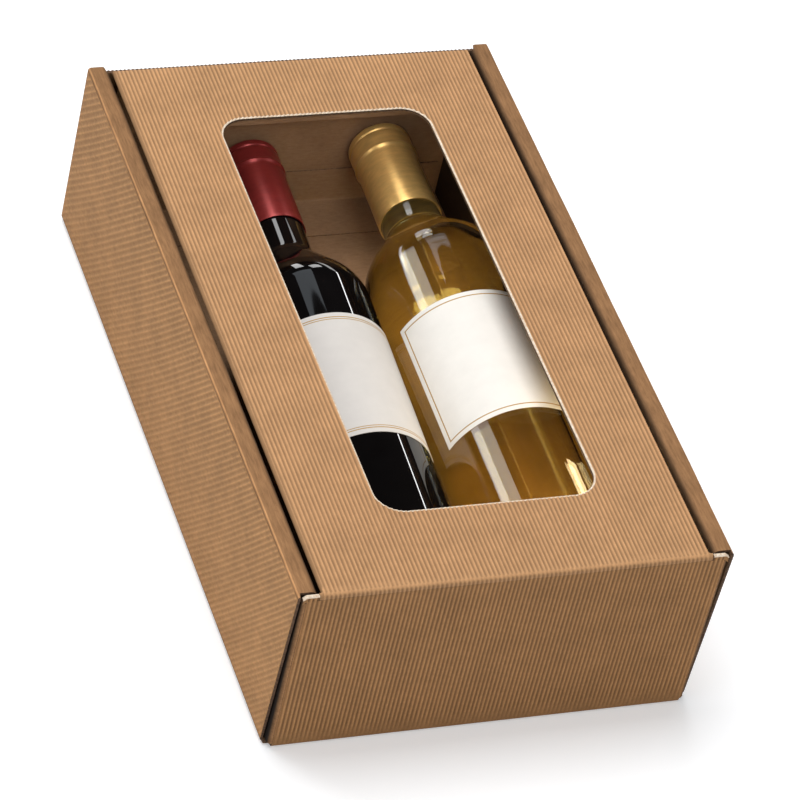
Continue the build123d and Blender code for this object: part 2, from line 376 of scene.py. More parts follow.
def label_paper(name, colour, rows, sides):
    """Paper with thin gold rules, as distances and half widths from its ends and sides."""
    material, tree, shader = nodes_of(name)
    tone = mottle(tree, noise(tree, scale=120, detail=5), colour, 0.97, 1.02)
    uv = add(tree, "ShaderNodeUVMap", uv_map="sheet")
    split = add(tree, "ShaderNodeSeparateXYZ")
    tree.links.new(uv.outputs["UV"], split.inputs["Vector"])
    from_side, from_end = split.outputs["X"], split.outputs["Y"]

    def math_node(kind, *sources):
        node = add(tree, "ShaderNodeMath", operation=kind)
        for source, socket in zip(sources, node.inputs):
            if isinstance(source, float):
                socket.default_value = source
            else:
                tree.links.new(source, socket)
        return node.outputs[0]

    def rule(source, distance, half):
        offset = math_node("ABSOLUTE", math_node("SUBTRACT", source, distance))
        return math_node("LESS_THAN", offset, half)

    mask = None
    for distance, half in rows:
        one = rule(from_end, distance, half)
        if sides:
            inset = sides[0][0] - sides[0][1]
            one = math_node("MULTIPLY", one, math_node("GREATER_THAN", from_side, inset))
        mask = one if mask is None else math_node("MAXIMUM", mask, one)
    for distance, half in sides:
        inset = rows[0][0] - rows[0][1]
        one = rule(from_side, distance, half)
        one = math_node("MULTIPLY", one, math_node("GREATER_THAN", from_end, inset))
        mask = math_node("MAXIMUM", mask, one)
    tree.links.new(mix(tree, "MIX", mask, tone, (0.47, 0.27, 0.06)), shader.inputs["Base Color"])
    put(shader, Roughness=0.62)
    bump(tree, shader, noise(tree, scale=1400, detail=3), 0.12)
    return material


kraft_flute = kraft("kraft_fluted", (0.522, 0.287, 0.136), valley=0.7, crest=1.3)
# The near and side walls are the same board as the lid, in darker, less blue copies of its colour that
# paint the walls' shade into the board.
kraft_near_shaded = kraft("kraft_near_shaded", (0.435, 0.225, 0.092), valley=0.62, crest=1.38)
kraft_side_shaded = kraft("kraft_side_shaded", (0.482, 0.254, 0.104), fleck=0.6, valley=0.87, crest=1.3)
kraft_plain = kraft(
    "kraft_plain", (0.364, 0.189, 0.082), fleck=0.8, stretch=(1, 0.12, 1), valley=0.0, crest=2.0
)
kraft_inside = kraft("kraft_inside", (0.302, 0.174, 0.092), fleck=0.4, stretch=(0.3, 1, 1))
# edge_dark is nearly black: partly the open flutes of the cut, partly painted shade on cut faces that turn
# away from the lights.
edge_dark = cut_edge("cut_edge", (0.04, 0.02, 0.01), (0.2, 0.11, 0.06))
edge_liner = cut_edge("cut_liner", (0.2, 0.12, 0.07), (0.42, 0.27, 0.16))
# edge_rim is pale: partly the cut fibre's own colour, partly a painted highlight where the cut's rounded
# top catches light.
edge_rim = cut_edge("cut_rim", (0.66, 0.48, 0.33), (0.93, 0.82, 0.67))


# Tray


def end_walls_and_base(sheet):
    """Near wall, base and far wall in one run, fluted outside where the walls stand."""
    fade_start, fade_run, base_top = 2.2, 2.5, 2.5
    xs = np.arange(-FACE_W, FACE_W, FLUTE_STEP)
    xs = xs * FACE_W / xs[-1]
    corners = [(-END_LINE, CREASE_Z), (-END_LINE, BASE_LINE), (END_LINE, BASE_LINE), (END_LINE, FAR_TOP)]
    path, normal = folded(corners, [FOLD, FOLD])
    height = path[:, 1:2]
    on_wall = smooth((height - fade_start) / fade_run)
    rise = FLUTE_RISE * on_wall
    rise[0] *= 0.5
    far_shift = 60 * (path[:, 0:1] > 0)
    lift = np.where(height < base_top, FLUTE, FLUTE_MIDDLE) + rise * flutes(xs)
    lift = lift + on_wall * waves(xs + far_shift, height, 0.06)
    outer = across(xs, path, normal, -HALF_LINER - lift)
    outer[..., 2] = np.maximum(outer[..., 2], 0)
    inner = across(xs, path, normal, HALF_LINER)
    # Painted highlight on the last crests by the wall's side edges, over the painted shade and light of
    # the flutes.
    painted_edge_highlight = 0.45 * smooth(np.abs(xs) - FACE_W + 1.6)
    sheet.grid(outer, kraft_near_shaded, True, MIDDLE_TONE + on_wall * (flutes(xs) + painted_edge_highlight))
    sheet.grid(inner[:, ::16], kraft_inside)
    for row in (0, -1):
        sheet.edge(outer[row], inner[row], edge_dark)
    sheet.close_ends(outer, inner, edge_dark)


def lining_strip(sheet):
    """Strip of lining board folded into the far corner, whose two edges the photo shows."""
    floor_z, wall_y = BOARD + STRIP, END_IN - STRIP
    path, normal = folded([(STRIP_START, floor_z), (wall_y, floor_z), (wall_y, STRIP_TOP)], [STRIP_R])
    strip = across(np.array([-LID_W, 0.0, LID_W]), path, normal, 0.0)
    sheet.grid(strip, kraft_inside)
    sheet.edge(strip[0], strip[0] - (0, 0, STRIP), edge_dark)
    sheet.edge(strip[-1], strip[-1] + (0, STRIP, 0), edge_dark)


def corner_flaps(sheet):
    """Flaps of the end walls, folded round inside the rolled side walls and darkened towards their ends
    with painted shade.
    """
    flap_end = END_LINE - CORNER_FLAP
    corners = [(CORNER_FLAP_START, END_LINE), (CORNER_LINE, END_LINE), (CORNER_LINE, flap_end)]
    path, normal = folded(corners, [FOLD])
    turned = np.arange(len(path))
    # Painted light: a highlight on the first rows of the fold, then painted shade that darkens the flap to
    # nearly black towards its end.
    tone = np.where(turned < 3, 0.7, np.maximum(0.6 - 0.14 * (turned - 2), 0.02))
    for end, wall_top in ((-1, NEAR_TOP), (1, FAR_TOP)):
        heights = np.linspace(FLUTE_START, wall_top - CORNER_FLAP_DROP, 12)
        for side in SIDES:
            faces = []
            for offset in (HALF_LINER + PRESSED_MIDDLE, -HALF_LINER):
                face = np.zeros((len(heights), len(path), 3))
                face[..., :2] = (path + normal * offset) * (side, end)
                face[..., 2] = heights[:, None]
                faces.append(face)
            outer, inner = faces
            sheet.grid(outer, kraft_plain, False, tone)
            sheet.grid(inner, kraft_inside)
            sheet.edge(outer[-1], inner[-1], edge_dark)
            sheet.edge(outer[:, -1], inner[:, -1], edge_dark)


def upright_corners(sheet):
    """Corners of the near wall beside the lid's crease, rounded off at their outer ends."""
    foot_z, face_top, lip_start, lip_z = 86.6, 88.6, 89.1, 89.4
    lip_places = ((-END_OUT - 0.2, lip_z + 0.1), (-END_IN - 0.7, lip_z + 0.25), (-END_IN, lip_z))
    xs = np.arange(HORN_START, HORN_END, FLUTE_STEP)
    round_start, round_run, round_drop = 90.4, 2.4, 1.2
    drop = np.stack([0 * xs, 0 * xs, round_drop * smooth((xs - round_start) / round_run) ** 2], axis=-1)
    for side in SIDES:
        wave = flutes(side * xs) * (xs < FACE_W)
        face_y = -END_OUT - FLUTE_MIDDLE - FLUTE_RISE * wave
        front = rows_at(side * xs, ((face_y, foot_z), (face_y, face_top), (-HALF_L, lip_start))) - drop
        lip = rows_at(side * xs, lip_places) - drop
        back = rows_at(side * xs, ((-END_IN, foot_z), (-END_IN, lip_z))) - drop
        # Painted shade and light in the flutes' valleys and on their crests; the lip's pale rim is partly
        # the cut fibre's colour and partly a painted highlight.
        sheet.grid(front, kraft_near_shaded, False, MIDDLE_TONE + wave)
        sheet.grid(np.concatenate([front[-1:], lip]), edge_rim)
        sheet.grid(back, kraft_inside)
        sheet.close_ends(front[[0, -1]], back, edge_dark)


def near_end(z):
    """Where the outer panel of a side wall ends at that height: it leans back towards the base."""
    lean = NEAR_GAP_BOTTOM - NEAR_GAP_TOP
    return -HALF_L + NEAR_GAP_BOTTOM - lean * np.clip(z / HEIGHT, 0, 1)


def rolled_wall(sheet, side):
    """Side wall that rolls over its ledge into a second panel inside."""
    corners = [
        (FACE_W, BASE_LINE),
        (SIDE_LINE, BASE_LINE),
        (SIDE_LINE, LEDGE_LINE),
        (INNER_LINE, LEDGE_LINE),
        (INNER_LINE, BASE_LINE + CREST_R),
    ]
    path, normal = folded(corners, [FOLD, CREST_R, ROLL_R])
    x, z = path[:, 0:1], path[:, 1:2]
    on_panel = x > SIDE_LINE - 0.65
    near = np.where(on_panel, near_end(z), -HALF_L + PANEL_GAP)
    far = HALF_L - np.where(on_panel | (z > LEDGE_LINE - 0.5), FAR_GAP, PANEL_GAP)
    along = np.linspace(0, 1, 61)
    y = near + (far - near) * along
    uneven = waves(y + 40 * side, 2 * z, 0.12) * (z > 85)
    uneven = uneven * (np.abs(along - 0.5) < 0.499)
    outer, inner = (
        np.stack([side * (x + normal[:, 0:1] * lift), y, z + normal[:, 1:2] * lift], axis=-1)
        for lift in (uneven - HALF_LINER, uneven + HALF_LINER)
    )
    upright = np.flatnonzero(path[:, 0] > SIDE_LINE - 0.01)
    first, last = upright[0], upright[-1]
    # Painted light on the ledge: a painted highlight along the outer crest of the roll, painted shade that
    # darkens it towards the inner fold, and a little darker towards the far end.
    from_crest = np.hypot(x - SIDE_LINE + 0.25, z - LEDGE_LINE + 0.25)
    painted_fold_tone = MIDDLE_TONE + 0.42 * smooth(1.5 - 4.5 * from_crest)
    painted_fold_tone = painted_fold_tone * (0.1 + 0.9 * smooth((x - INNER_LINE + 0.2) / 2.4)) * (1.06 - 0.12 * along)
    sheet.grid(outer[: first + 1], kraft_plain, side > 0)
    sheet.grid(outer[last:], kraft_plain, side > 0, painted_fold_tone[last:])
    sheet.grid(inner, kraft_inside, side < 0)
    sheet.close_ends(outer, inner, edge_dark)
    sheet.edge(outer[-1], inner[-1], edge_dark)


def side_ridges(sheet, side):
    """Slanting ridges of an outer panel, steeper towards the near end and flattened along its edges."""
    low, high, far_end = FLUTE_START, LEDGE_LINE - FOLD, HALF_L - FAR_GAP
    step, margin, fade_run, shortest, fewest = 0.02, 2.5, 1.0, 6.0, 4
    near_steps = np.array([0, 0.3, 0.6, fade_run])
    run = np.arange(-HALF_L, HALF_L, step)
    slope = np.radians(RIDGE_SLOPE - RIDGE_BEND * run / HALF_L)
    drop = np.cumsum(np.tan(slope)) * step
    ridges, tones = [], []
    for level in np.arange(low + drop[0], high + drop[-1], RIDGE_PITCH / 8):
        z = level - drop
        held = np.flatnonzero((z > low) & (z < high) & (run > near_end(z)) & (run < far_end))
        if len(held) < fewest:
            continue
        y0, y1 = run[held[0]], run[held[-1]]
        span = math.hypot(y1 - y0, z[held[-1]] - z[held[0]])
        middle_steps = np.linspace(margin, max(span - margin, margin), 8)
        steps = np.concatenate([near_steps, middle_steps, span - near_steps[::-1]])
        if span < shortest:
            steps = np.linspace(0, span, len(steps))
        fade = smooth(np.minimum(steps, span - steps) / fade_run)
        y = y0 + (y1 - y0) * steps / span
        z = level - np.interp(y, run, drop)
        wobble = 0.05 * np.sin(level / 13.0) + 0.06 * np.sin(y / 17.0)
        wave = np.cos(2 * np.pi * (level / RIDGE_PITCH + wobble))
        rise = fade * (0.18 + 0.2 * wave + waves(y, z, 0.05))
        # Painted light on the ridges: highlights on their crests and shade between them, stronger towards
        # the top, over a tone a little darker towards the far end.
        crest = (0.5 + 0.5 * wave) ** 3 - 0.4
        tones.append(0.4 - 0.15 * y / HALF_L + fade * crest * (0.4 + 0.6 * z / HEIGHT))
        ridges.append(np.stack([side * (HALF_W - 0.05 + rise), y, z], axis=-1))
    sheet.grid(ridges, kraft_side_shaded, side > 0, np.array(tones))


tray = Sheet()
end_walls_and_base(tray)
lining_strip(tray)
corner_flaps(tray)
upright_corners(tray)
for wall_side in SIDES:
    rolled_wall(tray, wall_side)
    side_ridges(tray, wall_side)
tray.make("tray_board", "tray", "kraft_board", "tray")


# Lid

RIM_LEFT = WINDOW_X - WINDOW_HALF_W - RIM
RIM_RIGHT = WINDOW_X + WINDOW_HALF_W + RIM
RIM_R = WINDOW_R + RIM
lid_path, lid_normal = folded(
    [(-END_LINE, CREASE_Z), (-END_LINE, LID_LINE), (FLAP_FOLD_Y, LID_LINE), (FLAP_END_Y, FLAP_END_Z)],
    [FOLD, FOLD],
    most=1,
)
crease_rows = np.flatnonzero(lid_path[:, 0] < 0)
fold_rows = np.flatnonzero((lid_path[:, 0] > 0) & (lid_path[:, 1] > NEAR_TOP))
panel_low, panel_high = lid_path[crease_rows[-1], 0], lid_path[fold_rows[0], 0]


def window_ends(x):
    """Where the window, grown by its rim, starts and ends along the box at x."""
    inset = np.maximum(np.maximum(RIM_LEFT + RIM_R - x, x - RIM_RIGHT + RIM_R), 0)
    half = WINDOW_HALF_L + RIM - RIM_R + np.sqrt(np.maximum(RIM_R**2 - inset**2, 0))
    return WINDOW_Y - half, WINDOW_Y + half


def crush_and_painted_shade(x):
    """Share of the wear along the lid's left edge, which is pressed down there and darkened with painted
    shade.
    """
    return 1 - smooth((x + LID_W) / 1.3)


def lid_height(x, y):
    """Rise of the fluted face over the liner, pressed down along the creases and the worn edge."""
    press = smooth((y - panel_low) / 2.0) * smooth((panel_high - y) / 2.0)
    middle = FLUTE_MIDDLE - 0.06 * (1 - press) - 0.5 * crush_and_painted_shade(x) * press
    rise = FLUTE_RISE * (PRESSED_RISE + (1 - PRESSED_RISE) * press)
    return middle + rise * flutes(x) + waves(x, y, 0.06) * press


def folded_faces(xs, rows):
    """Both faces of the lid where it is folded, with the flutes pressed flatter."""
    lift = HALF_LINER + PRESSED_MIDDLE + PRESSED_RISE * FLUTE * flutes(xs)
    outer = across(xs, lid_path[rows], lid_normal[rows], lift)
    return outer, across(xs, lid_path[rows], lid_normal[rows], -HALF_LINER)


def lid_columns(sheet, xs, starts, ends, from_crease, to_fold):
    """Both faces of the panel over columns at xs that run from starts to ends."""
    near_shares = np.array([0, 0.004, 0.01, 0.02, 0.04])
    shares = np.concatenate([near_shares, np.arange(1, 10) / 10, 1 - near_shares[::-1]])
    y = starts + (ends - starts) * shares[:, None]
    x = np.zeros_like(y) + xs
    top = np.stack([x, y, LID_TOP + lid_height(x, y)], axis=-1)
    under = np.stack([x, y, np.full_like(y, LID_UNDER)], axis=-1)
    if to_fold:
        round_top, round_under = folded_faces(xs, fold_rows[1:])
        top, under = np.concatenate([top, round_top]), np.concatenate([under, round_under])
    # Painted shade and light in the flutes, with painted shade along the crushed left edge.
    tones = np.tile(MIDDLE_TONE + flutes(xs) - 1.1 * crush_and_painted_shade(xs), (len(top), 1))
    # Painted highlight on the two rows next to the crease.
    if from_crease:
        tones[:2] = 0.6 + 0.7 * flutes(xs)
    sheet.grid(top, kraft_flute, False, tones)
    sheet.grid(under, kraft_inside, True)
    return top, under


def spread(a, b):
    """Columns from a to b that follow the flutes."""
    inside = np.arange(math.ceil(a / FLUTE_STEP), math.floor(b / FLUTE_STEP) + 1) * FLUTE_STEP
    inside = inside[(inside > a + 0.02) & (inside < b - 0.02)]
    return np.concatenate([[a], inside, [b]])


def lid_panel(sheet):
    """Panel round the window, with its two side edges, of which the left one is crushed; both side edges
    are darkened with painted shade.
    """
    # Painted shade on the cut side edges, darker towards their bottoms.
    painted_side_shade = np.array([[-0.8], [-1.1], [-1.15]])
    for xs, col, bulge in ((spread(-LID_W, RIM_LEFT), 0, -0.7), (spread(RIM_RIGHT, LID_W), -1, 0.0)):
        low, high = np.full_like(xs, panel_low), np.full_like(xs, panel_high)
        top, under = lid_columns(sheet, xs, low, high, True, True)
        upper, lower = top[:, col], under[:, col]
        sheet.grid([upper, (upper + lower) / 2 + (bulge, 0, 0), lower], kraft_flute, False, painted_side_shade)
    corner = RIM_R * (1 - np.cos(np.linspace(0, math.pi / 2, 24)))
    xs = np.concatenate([spread(RIM_LEFT, RIM_RIGHT), RIM_LEFT + corner, RIM_RIGHT - corner])
    xs = np.unique(np.round(xs, 4))
    starts, ends = window_ends(xs)
    lid_columns(sheet, xs, np.full_like(xs, panel_low), starts, True, False)
    lid_columns(sheet, xs, ends, np.full_like(xs, panel_high), False, True)


def lid_crease():
    """Strip between the near wall and the lid, with its flared ends."""
    sheet = Sheet()
    xs = spread(-LID_W, LID_W)
    outer, inner = folded_faces(xs, crease_rows)
    # Painted highlight along the middle rows of the crease, where the flutes' painted shade and light are
    # weaker.
    painted_fold_tone = np.exp(-(((np.arange(len(crease_rows)) - 5.5) / 1.6) ** 2))[:, None]
    tones = MIDDLE_TONE + 0.6 * painted_fold_tone + (1 - 0.75 * painted_fold_tone) * flutes(xs)
    sheet.grid(outer, kraft_flute, False, tones)
    sheet.grid(inner, kraft_inside, True)

    flare, flare_r, flare_z = 1.7, 1.4, LID_TOP + 0.25
    out = np.linspace(LID_W, LID_W + flare, 7)
    inset = np.maximum(LID_W + flare_r - out, 0)
    end_y = -END_IN + 0.2 + flare_r - np.sqrt(np.maximum(flare_r**2 - inset**2, 0))
    rows = crease_rows[:4]
    start_y = lid_path[rows[-1], 0] + lid_normal[rows[-1], 0] * (HALF_LINER + PRESSED_MIDDLE)
    reach = np.maximum(end_y - start_y, 0.05)
    flat_y = [start_y + reach * share for share in (0.5, 1.0)]
    for side in SIDES:
        flare_outer = across(side * out, lid_path[rows], lid_normal[rows], HALF_LINER + PRESSED_MIDDLE)
        flare_inner = across(side * out, lid_path[rows], lid_normal[rows], -HALF_LINER)
        flare_outer = np.concatenate([flare_outer, rows_at(side * out, [(y, flare_z) for y in flat_y])])
        flare_inner = np.concatenate([flare_inner, rows_at(side * out, [(y, LID_UNDER) for y in flat_y])])
        sheet.grid(flare_outer, kraft_flute, side < 0)
        sheet.grid(flare_inner, kraft_inside, side > 0)
        sheet.edge(flare_outer[-1], flare_inner[-1], edge_dark)
    return sheet.make("lid_crease", None, "kraft_lid")


def tuck_flap(sheet):
    """Flap behind the far wall, bowed a little towards its free edge."""
    xs = np.linspace(-FLAP_W, FLAP_W, 55)
    shares = np.linspace(0, 1, 9)[:, None]
    start, end, n = lid_path[fold_rows[-1]], lid_path[-1], lid_normal[-1]
    bow = waves(xs, 40 * shares, 0.25) * shares
    faces = []
    skins = ((HALF_LINER + PRESSED_MIDDLE, kraft_flute, False), (-HALF_LINER, kraft_inside, True))
    for offset, material, flip in skins:
        y = start[0] + (end[0] - start[0]) * shares + n[0] * (offset + bow)
        z = start[1] + (end[1] - start[1]) * shares + n[1] * offset + 0 * bow
        face = np.stack([np.zeros_like(y) + xs, y, z], axis=-1)
        sheet.grid(face, material, flip)
        faces.append(face)
    sheet.edge(faces[0][-1], faces[1][-1], edge_dark)
    sheet.close_ends(*faces, edge_dark)


def window_loop():
    """Points round the window, closed, about as close as the columns of the flutes."""
    loop = []
    for sx, sy, start in ((1, 1, 0), (-1, 1, 90), (-1, -1, 180), (1, -1, 270)):
        centre_x = WINDOW_X + sx * (WINDOW_HALF_W - WINDOW_R)
        centre_y = WINDOW_Y + sy * (WINDOW_HALF_L - WINDOW_R)
        for a in np.radians(start + np.linspace(0, 90, 25)):
            loop.append((centre_x + WINDOW_R * math.cos(a), centre_y + WINDOW_R * math.sin(a)))
    loop = np.array(loop)
    fine = []
    for here, there in zip(loop, np.roll(loop, -1, axis=0)):
        pieces = max(1, math.ceil(math.dist(here, there) / FLUTE_STEP))
        fine += [here + (there - here) * k / pieces for k in range(pieces)]
    return np.array(fine + fine[:1])


def window_rim(sheet):
    """Cut edge round the window: a pale broken rim, partly painted highlight, then the dark cut through
    flutes and liner, partly painted shade.
    """
    loop = window_loop()
    middle, half = np.array([WINDOW_X, WINDOW_Y]), np.array([WINDOW_HALF_W, WINDOW_HALF_L]) - WINDOW_R
    way = loop - np.clip(loop, middle - half, middle + half)
    way = way / np.linalg.norm(way, axis=1)[:, None]
    grown = loop + way * RIM
    top_z = LID_TOP + lid_height(grown[:, 0], grown[:, 1])
    count = np.arange(len(loop))
    ragged = 0.05 * np.sin(count * 1.7) + 0.04 * np.sin(count * 0.61)
    crown_z, broken_z, cut_z, liner_z = LID_TOP + 0.46, LID_TOP + 0.05, LID_TOP - 0.3, LID_TOP - 0.8

    def ring(grow, z):
        return np.column_stack([loop + way * grow, np.zeros(len(loop)) + z])

    crown = ring(RIM * 0.35, np.minimum(top_z, crown_z) - 0.02 + ragged * 0.3)
    broken = ring(0.04, broken_z + ragged)
    bottom = ring(0, liner_z)
    sheet.grid([ring(RIM, top_z), crown, broken], edge_rim, True)
    sheet.grid([broken, ring(0.1, cut_z + ragged * 0.5), bottom], edge_dark, True)
    sheet.grid([bottom, ring(0.03, LID_UNDER), ring(RIM, LID_UNDER)], edge_liner, True)


bent = lid_crease()
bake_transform(bent)
lid = Sheet()
lid_panel(lid)
tuck_flap(lid)
window_rim(lid)
lid.make("lid_board", "lid", "kraft_lid", "lid")


# Bottles


class Bottle:
    """A lying bottle. Distances run from its foot, and turns from straight up towards +X."""

    def __init__(self, body, neck, length, shift, yaw):
        self.body, self.neck, self.length = body, neck, length
        neck_gap, rest_gap = 4.0, 0.05
        t = math.radians(yaw)
        foot_y = HALF_L - BOARD - neck_gap - length
        self.origin = np.array([shift + foot_y * math.tan(t), foot_y, BOARD + rest_gap + body])
        self.along = np.array([math.sin(t), math.cos(t), 0])
        self.side = np.array([math.cos(t), -math.sin(t), 0])

    def points(self, profile, angles):
        """Points of a profile of radii and distances, turned to the angles."""
        r, s = np.array(profile, float).T
        spokes = np.cos(angles)[:, None] * np.array([0, 0, 1.0]) + np.sin(angles)[:, None] * self.side
        return self.origin + s[:, None, None] * self.along + r[:, None, None] * spokes[None]


def lathe(bottle, profile, name, material, slot, node):
    """Turn a profile round the bottle's axis and join its seam."""
    piece = Sheet()
    piece.grid(bottle.points(profile, np.linspace(0, 2 * math.pi, 129)), material)
    made = piece.make(name, "tray", slot, node)
    work = bmesh.new()
    work.from_mesh(made.data)
    bmesh.ops.remove_doubles(work, verts=work.verts, dist=1e-6)
    bmesh.ops.dissolve_degenerate(work, edges=work.edges, dist=1e-7)
    bmesh.ops.recalc_face_normals(work, faces=work.faces)
    work.to_mesh(made.data)
    work.free()
    return made


def shoulder(body, neck, start, neck_start, big, small):
    """Shoulder of a bottle: a big round into a steep run, then a small hollow into the neck.

    The run's angle is the one that brings the hollow's end nearest to neck_start.
    """
    drop = body - neck
    angles = np.radians(np.linspace(20, 80, 601))
    used = (big + small) * (1 - np.cos(angles))
    angles, used = angles[used <= drop], used[used <= drop]
    lengths = (big + small) * np.sin(angles) + (drop - used) / np.tan(angles)
    a = angles[np.argmin(np.abs(lengths - neck_start + start))]
    points = [(body - big * (1 - math.cos(t)), start + big * math.sin(t)) for t in np.linspace(0, a, 22)]
    for t in np.linspace(a, 0, 12):
        points.append((neck + small * (1 - math.cos(t)), neck_start - small * math.sin(t)))
    return points


def straight(radius, start, end):
    """Ten points along a straight wall."""
    return [(radius, s) for s in np.linspace(start, end, 10)]


def foot(radius):
    """Foot of a bottle from its middle outwards: a low hollow, a standing ring and a rounded edge."""
    hollow = [(0, 5.0), (10, 4.6), (18, 3.2), (24, 1.0), (26, 0.25), (28, 0.0)]
    edge = [(radius - 3.2, 0.15), (radius - 1.5, 1.0), (radius - 0.5, 2.5), (radius, 5.0)]
    return hollow + edge


def capsule(bottle, name, material, slot, node):
    """Foil over the neck: a rounded top, a groove, a ring and a slightly flared skirt."""
    r = bottle.neck + 0.75
    top = bottle.length + 0.7
    low = top - 52.5
    wall, round_r = 0.6, 1.9
    profile = [(0, top - 0.35), (r * 0.5, top - 0.3), (r * 0.72, top - 0.05), (r * 0.8, top)]
    for a in np.linspace(0.1, math.pi / 2, 8):
        profile.append((r - round_r * (1 - math.sin(a)), top - round_r * (1 - math.cos(a))))
    groove = [(0, 3.6), (-0.1, 4.0), (-0.5, 4.35), (-0.5, 4.75), (-0.1, 5.1), (0, 5.5)]
    ring = [(0, 9), (-0.02, 12.4), (0.1, 12.9), (0.38, 13.5), (0.42, 14.0), (0.3, 14.5), (-0.05, 15.0)]
    skirt = [(-0.3, 15.6), (-0.35, 17), (-0.3, 24), (-0.15, 36)]
    profile += [(r + out, top - down) for out, down in groove + ring + skirt]
    hem = [(0, 3), (0.03, 0.3), (-0.05, 0), (-0.5, 0.1), (-wall, 3)]
    profile += [(r + out, low + up) for out, up in hem]
    profile += [(r - wall, top - 30), (r - wall, top - 1.2), (0, top - 1.2)]
    return lathe(bottle, profile[::-1], name, material, slot, node)


def label(bottle, start, angle, name, material, slot, node):
    """Curved sheet of paper, with its edge distances in millimetres as the UV map."""
    height = 73.5
    half = math.radians(angle / 2)
    turn = np.linspace(-half, half, 81)
    run = np.linspace(0, height, 25)
    outer_r, inner_r = bottle.body + 0.26, bottle.body + 0.03
    top = bottle.points([(outer_r, start + s) for s in run], turn)
    under = bottle.points([(inner_r, start + s) for s in run], turn)
    piece = Sheet()
    piece.grid(top, material)
    piece.grid(under, material, True)
    piece.edge(top[0], under[0], material)
    piece.edge(top[-1], under[-1], material, True)
    piece.close_ends(top, under, material)
    mesh = piece.make(name, "tray", slot, node).data
    from_side = (half - np.abs(turn)) * outer_r
    from_end = np.minimum(run, height - run)
    places = np.zeros((len(mesh.vertices), 2))
    places[: len(run) * len(turn), 0] = np.tile(from_side, len(run))
    places[: len(run) * len(turn), 1] = np.repeat(from_end, len(turn))
    corners = np.zeros(len(mesh.loops), np.int32)
    mesh.loops.foreach_get("vertex_index", corners)
    layer = mesh.uv_layers.new(name="sheet")
    layer.data.foreach_set("uv", places[corners].astype(np.float32).ravel())


def settle(made, level, neck_place):
    """Cut the wine level along its top, and mark the part that stands in the neck. Both are in metres."""
    work = bmesh.new()
    work.from_mesh(made.data)
    everything = work.verts[:] + work.edges[:] + work.faces[:]
    cut = bmesh.ops.bisect_plane(
        work, geom=everything, plane_co=(0, 0, level), plane_no=(0, 0, 1), clear_outer=True
    )
    rim = [e for e in cut["geom_cut"] if isinstance(e, bmesh.types.BMEdge)]
    for face in bmesh.ops.contextual_create(work, geom=rim)["faces"]:
        face.smooth = False
    bmesh.ops.triangulate(work, faces=[f for f in work.faces if len(f.verts) > 4])
    for face in work.faces:
        if face.calc_center_median().y > neck_place:
            face.material_index = 1
    work.to_mesh(made.data)
    work.free()


def clear_bottle(bottle):
    """Hollow glass with the wine in it, which casts no shadow, as light passes through it."""
    glass_in, bore, shoulder_start, neck_start, neck_end = 31.5, 9.6, 206.0, 246.0, 262.0
    wine_gap, wine_end = 0.1, 266.9
    outside = foot(bottle.body) + straight(bottle.body, 20, 200)
    outside += shoulder(bottle.body, bottle.neck, shoulder_start, neck_start, big=30.0, small=9.0)
    outside += [(bottle.neck, s) for s in (neck_end, 290, bottle.length - 1)]
    outside += [(bottle.neck - 0.6, bottle.length), (bore, bottle.length), (bore - 0.1, bottle.length - 1)]
    inner_shoulder = shoulder(glass_in, bore, shoulder_start, neck_start + 0.5, big=27.0, small=9.0)
    inside = [(bore - 0.1, 290), (bore - 0.1, neck_end)] + inner_shoulder[::-1]
    inside += straight(glass_in, 200, 20)
    inside += [(glass_in, 14), (30.5, 11.5), (28, 9.6), (22, 9.2), (12, 10.4), (0, 11)]
    glass = lathe(bottle, outside + inside, "white_glass", clear_glass(), "clear_glass", "white_bottle")

    wine_r = glass_in + wine_gap
    profile = [(0, 10.95), (12, 10.35), (22, 9.15), (28.05, 9.55), (30.6, 11.45), (wine_r, 14)]
    profile += straight(wine_r, 20, 200) + [(r + wine_gap, s) for r, s in inner_shoulder]
    profile += [(bore, neck_end), (bore, wine_end), (0, wine_end)]
    body_wine = wine_of("white_wine", (0.86, 0.66, 0.2))
    wine = lathe(bottle, profile, "white_wine_body", body_wine, "white_wine", "white_wine")
    wine.data.materials.append(wine_of("wine_in_neck", (0.99, 0.97, 0.92)))
    settle(wine, level=0.06475, neck_place=0.0975)
    glass.visible_shadow = wine.visible_shadow = False


def dark_bottle(bottle):
    """Black glass that can't be seen into."""
    profile = foot(bottle.body) + straight(bottle.body, 20, 190)
    profile += shoulder(bottle.body, bottle.neck, 196.0, 234.5, big=30.0, small=9.0)
    profile += [(bottle.neck, s) for s in (250, 290, bottle.length - 1)]
    profile += [(bottle.neck - 0.6, bottle.length), (0, bottle.length)]
    lathe(bottle, profile, "dark_glass", black_glass(), "dark_glass", "red_bottle")


white = Bottle(body=34.5, neck=13.9, length=305.0, shift=47.9, yaw=0.9)
red = Bottle(body=30.5, neck=13.4, length=303.0, shift=-18.7, yaw=2.3)
gold_foil = satin("gold_foil", (0.72, 0.45, 0.15), roughness=0.33, metal=0.65)
crimson_foil = satin("crimson_foil", (0.24, 0.024, 0.022), roughness=0.34, metal=0.5)
cream = label_paper("cream_paper", (0.9, 0.86, 0.8), rows=[(2.6, 0.3)], sides=[(2.6, 0.3)])
off_white = label_paper("off_white_paper", (0.73, 0.69, 0.65), rows=[(2.7, 0.27), (3.9, 0.22)], sides=[])
clear_bottle(white)
capsule(white, "gold_capsule_foil", gold_foil, "gold_foil", "gold_capsule")
capsule(red, "crimson_capsule_foil", crimson_foil, "crimson_foil", "red_capsule")
dark_bottle(red)
label(white, 97.1, 139.0, "cream_label", cream, "cream_paper", "white_label")
label(red, 96.5, 156.0, "off_white_label", off_white, "off_white_paper", "red_label")


# Stage


